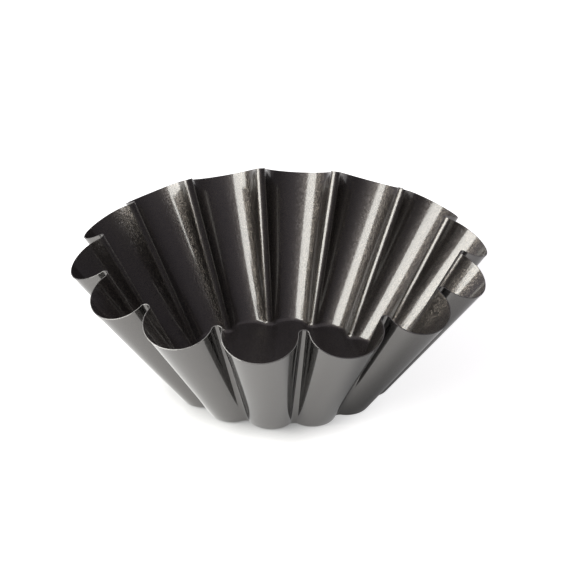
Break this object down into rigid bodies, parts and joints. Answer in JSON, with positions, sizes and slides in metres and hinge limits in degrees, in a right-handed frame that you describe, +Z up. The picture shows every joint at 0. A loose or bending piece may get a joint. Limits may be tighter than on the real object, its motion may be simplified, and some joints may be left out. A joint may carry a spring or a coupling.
{
  "type": "brioche mould",
  "caption": "Flared round baking mould with a flat base and a ring of tall round flutes, pressed from one steel sheet with a non-stick coat on both faces.",
  "frame": {"origin": "centre of the underside of the base, on the table", "axes": "+Z up the mould's axis towards the open rim; +X through the crest of one flute"},
  "size_m": [0.22, 0.2158, 0.0785],
  "materials": {
    "bare_steel": "satin",
    "outer_coat": "satin",
    "inner_nonstick_coat": "satin"
  },
  "bodies": {
    "root": {"pressed_steel_sheet": "bare_steel", "outer_coat": "outer_coat", "inner_nonstick_coat": "inner_nonstick_coat"}
  },
  "joints": []
}
